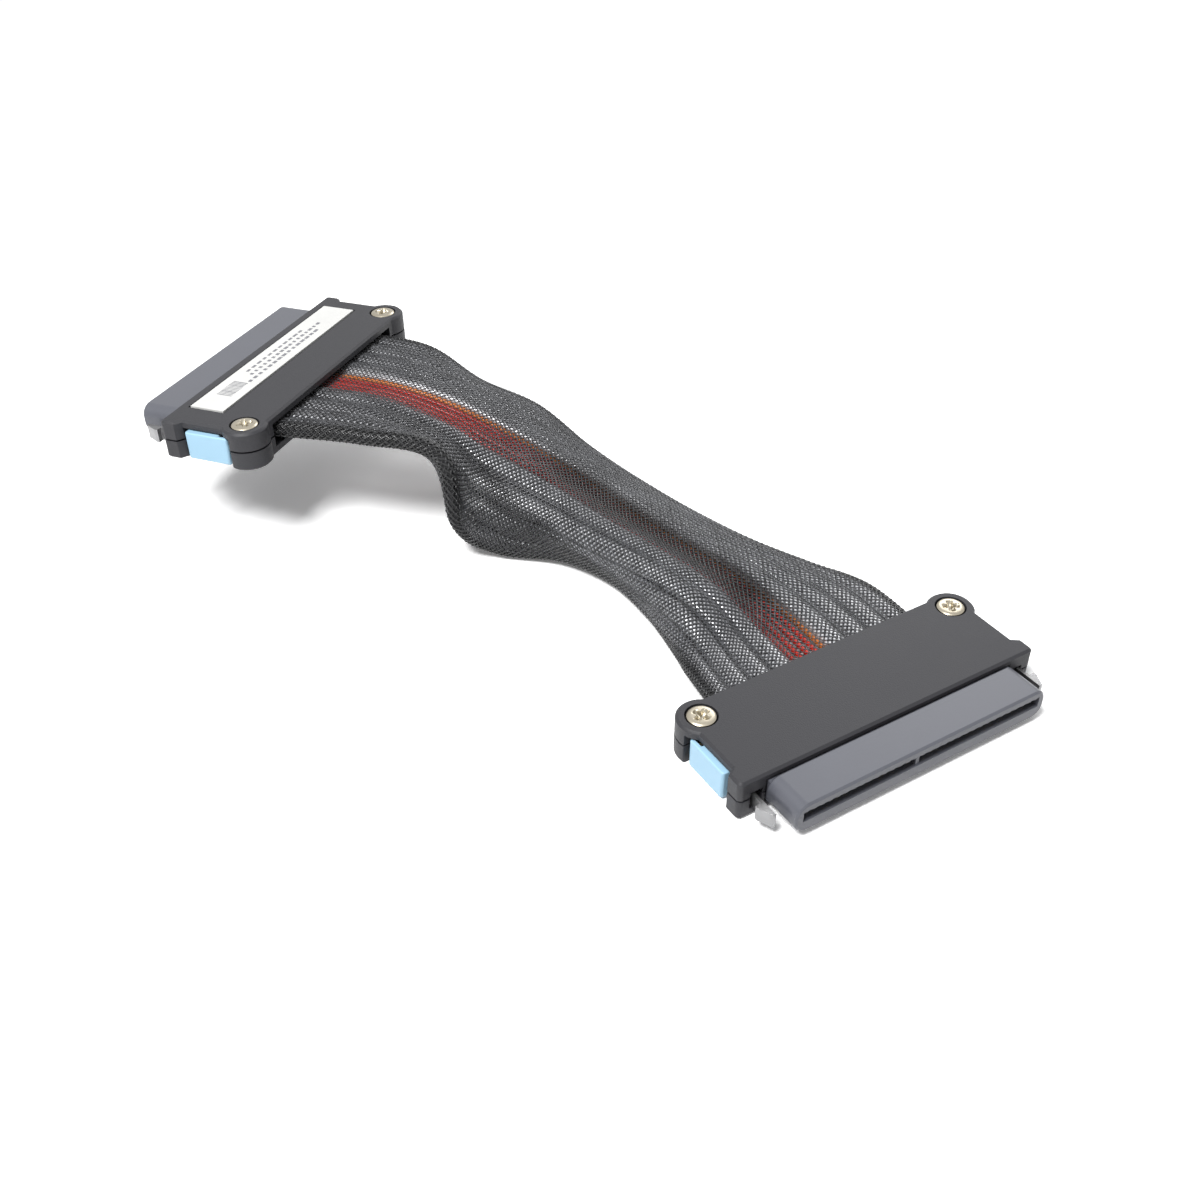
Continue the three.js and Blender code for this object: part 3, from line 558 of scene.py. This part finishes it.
def named(tree, label, kind):
    node = add(tree, "GeometryNodeInputNamedAttribute", {"data_type": kind}, {"Name": label})
    return node.outputs["Attribute"]


def finished(tree, geometry, gin, gout):
    """Gives a tree's geometry its material and its way out."""
    done = add(tree, "GeometryNodeSetMaterial", None, {"Geometry": geometry, "Material": gin["Material"]})
    tree.links.new(done.outputs[0], gout.inputs[0])


def grown(name, seed_object, tree, values):
    """The plain mesh that a tree makes on an object; the modifier is gone afterwards."""
    modifier = seed_object.modifiers.new(tree.name, "NODES")
    modifier.node_group = tree
    for item in tree.interface.items_tree:
        if item.in_out == "INPUT" and item.name in values:
            modifier[item.identifier] = values[item.name]
    graph = bpy.context.evaluated_depsgraph_get()
    mesh = bpy.data.meshes.new_from_object(seed_object.evaluated_get(graph), depsgraph=graph)
    seed_object.modifiers.remove(modifier)
    mesh.name = name
    return mesh


INT = "NodeSocketInt"
braid, gin, gout = geometry_tree("braid", [
    ("Strands", INT, 80), ("Crossings", INT, 200), ("Facets", INT, 3), ("Lean", FLOAT, 1.0),
    ("Half Width", FLOAT, 0.0002), ("Opening", FLOAT, 0.4), ("Thickness", FLOAT, 0.0001),
    ("Weave", FLOAT, 0.00008), ("Round", FLOAT, 0.07),
])
one = add(braid, "GeometryNodeMeshGrid", None, {
    "Size X": 1.0, "Size Y": 1.0,
    "Vertices X": calc(braid, "ADD", gin["Facets"], 1),
    "Vertices Y": calc(braid, "ADD", gin["Crossings"], 1),
})
strand = add(braid, "GeometryNodeStoreNamedAttribute", {"data_type": "FLOAT_VECTOR"}, {
    "Geometry": one.outputs["Mesh"], "Name": "cell", "Value": one.outputs["UV Map"],
})
starts = add(braid, "GeometryNodeMeshLine", None, {"Count": gin["Strands"]})
many = add(braid, "GeometryNodeInstanceOnPoints", None, {
    "Points": starts.outputs[0], "Instance": strand.outputs[0],
})
index = add(braid, "GeometryNodeInputIndex").outputs[0]
numbered = add(braid, "GeometryNodeStoreNamedAttribute", {"data_type": "FLOAT", "domain": "INSTANCE"}, {
    "Geometry": many.outputs[0], "Name": "strand", "Value": index,
})
real = add(braid, "GeometryNodeRealizeInstances", None, {"Geometry": numbered.outputs[0]})

# %% Where each point of a strand lies
MAP_LOW = 0.0001
MAP_HIGH = 0.9999
WELD = 0.002 * MM
cell = add(braid, "ShaderNodeSeparateXYZ", None, {0: named(braid, "cell", "FLOAT_VECTOR")})
step = calc(braid, "ROUND", calc(braid, "MULTIPLY", cell.outputs[1], gin["Crossings"]))
left_over = calc(braid, "SUBTRACT", gin["Crossings"], step)
closing = calc(braid, "MINIMUM", calc(braid, "MINIMUM", step, left_over), 1.0)
turn = calc(braid, "MULTIPLY", cell.outputs[0], -2 * math.pi)
angle = calc(braid, "ADD", turn, 1.5 * math.pi - math.pi / 3)
sway = calc(braid, "MULTIPLY", calc(braid, "COSINE", angle), closing)
rise = calc(braid, "MULTIPLY", calc(braid, "SINE", angle), closing)
lean = calc(braid, "MULTIPLY", calc(braid, "MULTIPLY", step, 0.5), gin["Lean"])
column = calc(braid, "DIVIDE", calc(braid, "ADD", named(braid, "strand", "FLOAT"), lean), gin["Strands"])


def within(value):
    """Keeps a value just inside the flat map."""
    return calc(braid, "MINIMUM", calc(braid, "MAXIMUM", value, MAP_LOW), MAP_HIGH)


along = within(cell.outputs[1])


def map_place(shift):
    """A place in the sleeve's flat map, which wraps round from 1 to 0."""
    wrapped = calc(braid, "FRACT", calc(braid, "ADD", shift, 100.0))
    return add(braid, "ShaderNodeCombineXYZ", None, {0: within(wrapped), 1: along}).outputs[0]


def sampled(value, place, kind="FLOAT_VECTOR"):
    return add(braid, "GeometryNodeSampleUVSurface", {"data_type": kind}, {
        "Mesh": gin["Geometry"], "Value": value, "UV Map": named(braid, "lie", "FLOAT_VECTOR"),
        "Sample UV": place,
    }).outputs["Value"]


pulled = sampled(named(braid, "ease", "FLOAT"), map_place(column), "FLOAT")
slim = calc(braid, "SUBTRACT", 1.0, calc(braid, "MULTIPLY", pulled, gin["Opening"]))
reach = calc(braid, "MULTIPLY", gin["Half Width"], slim)
beside = calc(braid, "DIVIDE", calc(braid, "MULTIPLY", sway, reach), gin["Round"])
place = map_place(calc(braid, "ADD", column, beside))
over = calc(braid, "COSINE", calc(braid, "MULTIPLY", step, math.pi))
weave = calc(braid, "MULTIPLY", calc(braid, "MULTIPLY", over, gin["Lean"]), gin["Weave"])
height = calc(braid, "ADD", weave, calc(braid, "MULTIPLY", rise, gin["Thickness"]))


ground = sampled(add(braid, "GeometryNodeInputPosition").outputs[0], place)
raised = add(braid, "ShaderNodeVectorMath", {"operation": "SCALE"}, {
    0: sampled(named(braid, "outward", "FLOAT_VECTOR"), place), "Scale": height,
})
spot = add(braid, "ShaderNodeVectorMath", {"operation": "ADD"}, {0: ground, 1: raised.outputs[0]})
# The braid keeps the sampled value, so that the strands' finish can paint shade where it is below zero.
toned_and_shaded = add(braid, "GeometryNodeStoreNamedAttribute", {"data_type": "FLOAT"}, {
    "Geometry": real.outputs[0], "Name": "pulled", "Value": pulled,
})
laid = add(braid, "GeometryNodeSetPosition", None, {
    "Geometry": toned_and_shaded.outputs[0], "Position": spot.outputs[0],
})
merged = add(braid, "GeometryNodeMergeByDistance", None, {"Geometry": laid.outputs[0], "Distance": WELD})
soft = add(braid, "GeometryNodeSetShadeSmooth", None, {"Geometry": merged.outputs[0]})
finished(braid, soft.outputs[0], gin, gout)
print("braid tree", len(braid.nodes), "nodes")

# %% The strand's finish
TONE_DARK = 0.55
TONE_LIGHT = 2.1
TONE_PAINTED_SHADE = 0.22
strand_finish = finish("black braid strand", (0.028, 0.029, 0.032), (0.058, 0.059, 0.064),
                       (0.20, 0.38), ROUGH)
tree = strand_finish.node_tree
own = add(tree, "ShaderNodeAttribute", {"attribute_name": "strand"})
toss = add(tree, "ShaderNodeTexWhiteNoise", {"noise_dimensions": "1D"}, {"W": own.outputs["Fac"]})
tone = spread(tree, toss.outputs["Value"], TONE_DARK, TONE_LIGHT)
shader = tree.nodes["Principled BSDF"]
plain = shader.inputs["Base Color"].links[0].from_socket
# Painted shade: the strands darken to 0.22 of their tone where the braid's value is below zero. This is in
# the valley between the groups, along the edges and on the near wall of the fold.
painted_shade_attribute = add(tree, "ShaderNodeAttribute", {"attribute_name": "pulled"})
shade = spread(tree, painted_shade_attribute.outputs["Fac"], TONE_PAINTED_SHADE, 1.0, -EASE_CLOSED_AND_SHADED, 0.0)
tone = calc(tree, "MULTIPLY", tone, shade)
toned_and_shaded = add(tree, "ShaderNodeVectorMath", {"operation": "SCALE"}, {0: plain, "Scale": tone})
tree.links.new(toned_and_shaded.outputs[0], shader.inputs["Base Color"])

# %% Two families of strands
STRANDS = 84
CROSSINGS = 230
STRAND_FACETS = 3
STRAND_HALF = 0.235 * MM
STRAND_THICK = 0.07 * MM
WEAVE_HEIGHT = 0.07 * MM
OPENING = 0.62
bed = bpy.data.objects.new("sleeve_bed", bed_mesh)
PLACED.objects.link(bed)
for word, lean_way in (("left", 1.0), ("right", -1.0)):
    mesh = grown(f"sleeve_strands_{word}", bed, braid, {
        "Strands": STRANDS, "Crossings": CROSSINGS, "Facets": STRAND_FACETS, "Lean": lean_way,
        "Half Width": STRAND_HALF, "Opening": OPENING, "Thickness": STRAND_THICK, "Weave": WEAVE_HEIGHT,
        "Round": SLEEVE_ROUND, "Material": strand_finish,
    })
    piece(mesh.name, mesh, "cable", "sleeve", strand_finish, "braided_sleeve")
    mesh.calc_loop_triangles()
    print(mesh.name, len(mesh.loop_triangles), "triangles")
bpy.data.objects.remove(bed)

for n, wire in enumerate(wires):
    path = line_at((n - MIDDLE_WIRE) * WIRE_PITCH, SHEET)

# %% [markdown]
# ## Hoods, noses, pads and metal
# The solids have the right shapes, but a moulding has no knife edges. A merged copy of each solid gets a
# small bevel and stands for it. Bevelled edges catch the light, which is most of what makes plastic real.

# %% Softened copies of the solids
FLAT_ANGLE = math.radians(1)
EDGE_ANGLE = math.radians(28)
SHELL_EDGE = 0.10 * MM
NOSE_EDGE = 0.12 * MM
PAD_EDGE = 0.28 * MM
PAD_SEGMENTS = 4
HOOK_EDGE = 0.06 * MM


def softened(name, node, body, slot, material, width, segments=2):
    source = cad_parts[node]
    shell = bmesh.new()
    shell.from_mesh(source.data)
    bmesh.ops.remove_doubles(shell, verts=shell.verts, dist=WELD)
    bmesh.ops.dissolve_limit(shell, angle_limit=FLAT_ANGLE, verts=shell.verts, edges=shell.edges)
    mesh = bpy.data.meshes.new(name)
    shell.to_mesh(mesh)
    shell.free()
    obj = bpy.data.objects.new(name, mesh)
    PLACED.objects.link(obj)
    bevel = obj.modifiers.new("edges", "BEVEL")
    bevel.width = width
    bevel.segments = segments
    bevel.limit_method = "ANGLE"
    bevel.angle_limit = EDGE_ANGLE
    bevel.use_clamp_overlap = True
    mesh.shade_smooth()
    faces = obj.modifiers.new("faces", "WEIGHTED_NORMAL")
    faces.weight = 100
    faces.keep_sharp = True
    graph = bpy.context.evaluated_depsgraph_get()
    obj.data = bpy.data.meshes.new_from_object(obj.evaluated_get(graph), depsgraph=graph)
    obj.data.name = name
    obj.modifiers.clear()
    return piece(name, obj, body, slot, material, node)


for end in ("near", "far"):
    softened(f"{end}_hood_top", f"{end}_top_cover", "cable", "hood", hood_finish, SHELL_EDGE)
    softened(f"{end}_hood_base", f"{end}_bottom_cover", "cable", "hood", hood_finish, SHELL_EDGE)
    softened(f"{end}_nose", f"{end}_nose_housing", "cable", "nose", nose_finish, NOSE_EDGE)
    for side in ("left", "right"):
        body = f"{end}_{side}_latch"
        softened(f"{end}_pad_{side}", f"{end}_release_pad_{side}", body, "release_pad", pad_finish,
                 PAD_EDGE, PAD_SEGMENTS)
        softened(f"{end}_hook_{side}", f"{end}_latch_arm_{side}", body, "latch_steel", steel_finish,
                 HOOK_EDGE)

# %% [markdown]
# ## Screws, slot teeth and label marks
# These repeat, so two small trees set them out. One puts a finished shape on points that say how it is
# turned. The other makes a row of blocks from a count, a pitch and a size, with a fixed seed for length.

# %% One screw: a domed head with a cross recess
HEAD_RADIUS = 2.0 * MM
HEAD_LOW = 5.5 * MM
HEAD_EDGE = 6.2 * MM
HEAD_TOP = 6.45 * MM
SHANK_RADIUS = 0.9 * MM
SHANK_LOW = 1.4 * MM
CROSS_LONG = 1.2 * MM
CROSS_HALF = 0.30 * MM
CROSS_DEEP = 0.9 * MM
ROUND_STEPS = 64
RING_RADII = [n / 14 for n in range(1, 15)]


def head_height(x, y):
    """The top of the head: a low dome, rounded at its rim, less a cross that is deepest in the middle."""
    r = math.hypot(x, y)
    share = r / HEAD_RADIUS
    top = HEAD_TOP - (HEAD_TOP - HEAD_EDGE) * (0.25 * share**2 + 0.75 * share**12)
    off = min(abs(x), abs(y))
    arm = max(0.0, min(1.0, (CROSS_HALF * 1.5 - off) / (CROSS_HALF * 0.7)))
    taper = max(0.0, 1 - (r / CROSS_LONG) ** 2) ** 0.5
    cup = 0.35 * max(0.0, 1 - r / (CROSS_LONG * 0.62))
    return top - CROSS_DEEP * max(arm * taper, cup)


def screw_mesh():
    points = [(0, 0, head_height(0, 0))]
    rings = [(HEAD_RADIUS * r, None) for r in RING_RADII]
    rings += [(HEAD_RADIUS, HEAD_LOW), (SHANK_RADIUS, HEAD_LOW), (SHANK_RADIUS, SHANK_LOW)]
    for radius, level in rings:
        for n in range(ROUND_STEPS):
            a = 2 * math.pi * n / ROUND_STEPS
            x, y = radius * math.cos(a), radius * math.sin(a)
            points.append((x, y, head_height(x, y) if level is None else level))
    faces = [(0, 1 + n, 1 + (n + 1) % ROUND_STEPS) for n in range(ROUND_STEPS)]
    for k in range(len(rings) - 1):
        for n in range(ROUND_STEPS):
            a, b = 1 + k * ROUND_STEPS + n, 1 + k * ROUND_STEPS + (n + 1) % ROUND_STEPS
            faces.append((a, a + ROUND_STEPS, b + ROUND_STEPS, b))
    faces.append(tuple(1 + (len(rings) - 1) * ROUND_STEPS + n for n in range(ROUND_STEPS))[::-1])
    mesh = mesh_of("screw_shape", points, faces)
    mesh.set_sharp_from_angle(angle=math.radians(50))
    return mesh


# %% A tree that sets a shape out on points
set_out, gin, gout = geometry_tree("set out", [])
set_out.interface.new_socket("Shape", in_out="INPUT", socket_type="NodeSocketObject")
shape = add(set_out, "GeometryNodeObjectInfo", {"transform_space": "ORIGINAL"}, {"Object": gin["Shape"]})
turned = add(set_out, "FunctionNodeEulerToRotation", None, {0: named(set_out, "turn", "FLOAT_VECTOR")})
copies = add(set_out, "GeometryNodeInstanceOnPoints", None, {
    "Points": gin["Geometry"], "Instance": shape.outputs["Geometry"], "Rotation": turned.outputs[0],
})
real = add(set_out, "GeometryNodeRealizeInstances", None, {"Geometry": copies.outputs[0]})
finished(set_out, real.outputs[0], gin, gout)

# %% Four screws
SCREW_OUT = 22 * MM
SCREW_TURNS = (0.35, 1.05, 0.2, 0.75)
NEAR_END = Matrix.Identity(4)
FAR_END = Matrix.Translation(FAR_PLACE) @ FAR_TURN.to_4x4()
places, turns, names = [], [], []
for end, word in ((NEAR_END, "near"), (FAR_END, "far")):
    for x, side in ((-SCREW_OUT, "left"), (SCREW_OUT, "right")):
        spin = Matrix.Rotation(SCREW_TURNS[len(places)], 4, "Z")
        whole = end @ Matrix.Translation((x, 0, 0)) @ spin
        places.append(whole.translation)
        turns.append(whole.to_euler("XYZ"))
        names.append(f"{word}_screw_{side}")
spots_mesh = mesh_of("screw_spots", places, [], smooth=False)
turn_values = spots_mesh.attributes.new("turn", "FLOAT_VECTOR", "POINT").data
turn_values.foreach_set("vector", [v for t in turns for v in t])
spots = bpy.data.objects.new("screw_spots", spots_mesh)
one_screw = bpy.data.objects.new("screw_shape", screw_mesh())
PLACED.objects.link(spots)
PLACED.objects.link(one_screw)
mesh = grown("hood_screws", spots, set_out, {"Shape": one_screw, "Material": nickel_finish})
piece("hood_screws", mesh, "cable", "screw", nickel_finish, *names)
bpy.data.objects.remove(spots)
bpy.data.objects.remove(one_screw)
print("screws", len(names), "with", len(mesh.polygons), "faces")

# %% A tree that makes a row of blocks
blocks, gin, gout = geometry_tree("row of blocks", [
    ("Count", INT, 10), ("Pitch", FLOAT, 0.001), ("Size", VECTOR, (0.001, 0.001, 0.001)),
    ("Shortest", FLOAT, 1.0), ("Seed", INT, 1),
])
span = calc(blocks, "MULTIPLY", calc(blocks, "SUBTRACT", gin["Count"], 1), gin["Pitch"])
first = add(blocks, "ShaderNodeCombineXYZ", None, {0: calc(blocks, "MULTIPLY", span, -0.5)})
stride = add(blocks, "ShaderNodeCombineXYZ", None, {0: gin["Pitch"]})
line = add(blocks, "GeometryNodeMeshLine", None, {
    "Count": gin["Count"], "Start Location": first.outputs[0], "Offset": stride.outputs[0],
})
block = add(blocks, "GeometryNodeMeshCube", None, {"Size": gin["Size"]})
chance = add(blocks, "FunctionNodeRandomValue", {"data_type": "FLOAT"}, {
    2: gin["Shortest"], 3: 1.0, "Seed": gin["Seed"],
})
stretch = add(blocks, "ShaderNodeCombineXYZ", None, {0: chance.outputs[1], 1: 1.0, 2: 1.0})
copies = add(blocks, "GeometryNodeInstanceOnPoints", None, {
    "Points": line.outputs[0], "Instance": block.outputs[0], "Scale": stretch.outputs[0],
})
real = add(blocks, "GeometryNodeRealizeInstances", None, {"Geometry": copies.outputs[0]})
finished(blocks, real.outputs[0], gin, gout)


def row_of_blocks(name, end, place, body, slot, material, **values):
    """A row of blocks that is moved from a plug's own frame to its place."""
    seed_object = bpy.data.objects.new(name, bpy.data.meshes.new(name))
    PLACED.objects.link(seed_object)
    mesh = grown(name, seed_object, blocks, {**values, "Material": material})
    bpy.data.objects.remove(seed_object)
    mesh.transform(end @ Matrix.Translation(place))
    return piece(name, mesh, body, slot, material)


# %% Teeth under the upper lip of each slot, and marks on the label
TEETH = 32
TOOTH_PITCH = 1.27 * MM
TOOTH_SIZE = Vector((0.6, 0.9, 0.34)) * MM
TOOTH_PLACE = Vector((0, -19.0, 4.47)) * MM
for end, word in ((NEAR_END, "near"), (FAR_END, "far")):
    row_of_blocks(f"{word}_slot_teeth", end, TOOTH_PLACE, "cable", "nose", nose_finish,
                  Count=TEETH, Pitch=TOOTH_PITCH, Size=TOOTH_SIZE)
MARK_TOP = 6.41 * MM
MARK_THICK = 0.04 * MM
MARK_SHORTEST = 0.45
MARK_SEED = 3
# Each row: its middle's x and y, how many marks, and their pitch, length and height in millimetres
MARK_ROWS = (
    (-1.0, -7.1, 15, 1.45, 1.15, 0.55),
    (-3.5, -8.3, 17, 1.30, 1.00, 0.55),
    (-2.0, -9.5, 11, 1.60, 1.25, 0.45),
    (12.5, -8.3, 12, 0.42, 0.24, 2.60),
)
for n, (x, y, number, pitch, long, tall) in enumerate(MARK_ROWS):
    middle = Vector((x * MM, y * MM, MARK_TOP))
    size = Vector((long * MM, tall * MM, MARK_THICK))
    row_of_blocks(f"label_marks_{n + 1}", FAR_END, middle, "cable", "label", mark_finish,
                  Count=number, Pitch=pitch * MM, Size=size, Shortest=MARK_SHORTEST, Seed=n + MARK_SEED)

# %% Finishes for the solids that stay
STAYING = {
    "contact_carrier": ("contacts", gilt_finish),
    "strain_relief": ("moulding", moulding_finish),
    "insert_left": ("insert", brass_finish),
    "insert_right": ("insert", brass_finish),
    "label": ("label", paper_finish),
}
for name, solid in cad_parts.items():
    for ending, (slot, material) in STAYING.items():
        if name.endswith(ending):
            solid.data.materials.clear()
            solid.data.materials.append(material)

# %% [markdown]
# ## Floor and light
# The object stands on white, with one soft shadow under the raised plug. The floor is a pale diffuse sheet
# that also shines a little towards the camera only, so it reads as white while its shadows stay. It fades
# to plain white away from the object, and it is clear from below, so that the underside can be seen.

# %% Floor
FLOOR_LEVEL = -0.05 * MM
FLOOR_REACH = 3.0
FLOOR_TONE = 0.55
FLOOR_SEEN = 1.25
FLOOR_SHINE = 0.10
FADE_START = 0.25
FADE_END = 0.5
WHITE = (1, 1, 1, 1)


def seen_rays(tree):
    """1 for rays that end in the picture, straight or by a mirror or glass, and 0 for all others."""
    ray = add(tree, "ShaderNodeLightPath")
    seen = calc(tree, "MAXIMUM", ray.outputs["Is Camera Ray"], ray.outputs["Is Glossy Ray"])
    return calc(tree, "MAXIMUM", seen, ray.outputs["Is Transmission Ray"])


corners = [(x * FLOOR_REACH, y * FLOOR_REACH, FLOOR_LEVEL) for x, y in ((-1, -1), (1, -1), (1, 1), (-1, 1))]
floor_mesh = mesh_of("floor", corners, [(0, 1, 2, 3)], smooth=False)
floor = bpy.data.objects.new("floor", floor_mesh)
PLACED.objects.link(floor)
floor_finish = bpy.data.materials.new("pale floor")
floor_finish.use_nodes = True
tree = floor_finish.node_tree
tree.nodes.clear()
seen = seen_rays(tree)
matt = add(tree, "ShaderNodeBsdfDiffuse", None, {"Color": spread(tree, seen, FLOOR_TONE, FLOOR_SEEN)})
glow = calc(tree, "MULTIPLY", seen, FLOOR_SHINE)
shine = add(tree, "ShaderNodeEmission", None, {"Color": WHITE, "Strength": glow})
both = add(tree, "ShaderNodeAddShader", None, {0: matt.outputs[0], 1: shine.outputs[0]})
where = add(tree, "ShaderNodeTexCoord")
away = add(tree, "ShaderNodeVectorMath", {"operation": "LENGTH"}, {0: where.outputs["Object"]})
fade = spread(tree, away.outputs["Value"], 0.0, 1.0, FADE_START, FADE_END)
white = add(tree, "ShaderNodeEmission", None, {"Color": WHITE, "Strength": seen})
ground = add(tree, "ShaderNodeMixShader", None, {0: fade, 1: both.outputs[0], 2: white.outputs[0]})
behind = add(tree, "ShaderNodeNewGeometry").outputs["Backfacing"]
clear = add(tree, "ShaderNodeBsdfTransparent")
above = add(tree, "ShaderNodeMixShader", None, {0: behind, 1: ground.outputs[0], 2: clear.outputs[0]})
add(tree, "ShaderNodeOutputMaterial", None, {"Surface": above.outputs[0]})
floor_mesh.materials.append(floor_finish)

# %% World and lamps
WORLD_LEVEL = 0.30
world = bpy.data.worlds.new("studio")
bpy.context.scene.world = world
world.use_nodes = True
tree = world.node_tree
tree.nodes.clear()
seen = seen_rays(tree)
strength = spread(tree, seen, WORLD_LEVEL, 1.0)
sky = add(tree, "ShaderNodeBackground", None, {"Color": WHITE, "Strength": strength})
add(tree, "ShaderNodeOutputWorld", None, {"Surface": sky.outputs[0]})

CENTRE = Vector((-15, 45, 8)) * MM


def lamp(name, place, size, watts):
    light = bpy.data.objects.new(name, bpy.data.lights.new(name, "AREA"))
    light.data.size = size
    light.data.energy = watts
    light.location = CENTRE + Vector(place)
    light.rotation_euler = (-Vector(place)).to_track_quat("-Z", "Y").to_euler()
    PLACED.objects.link(light)


lamp("key", (-0.28, -0.13, 0.52), 0.19, 4.4)
lamp("rim", (0.40, 0.30, 0.30), 0.25, 0.8)
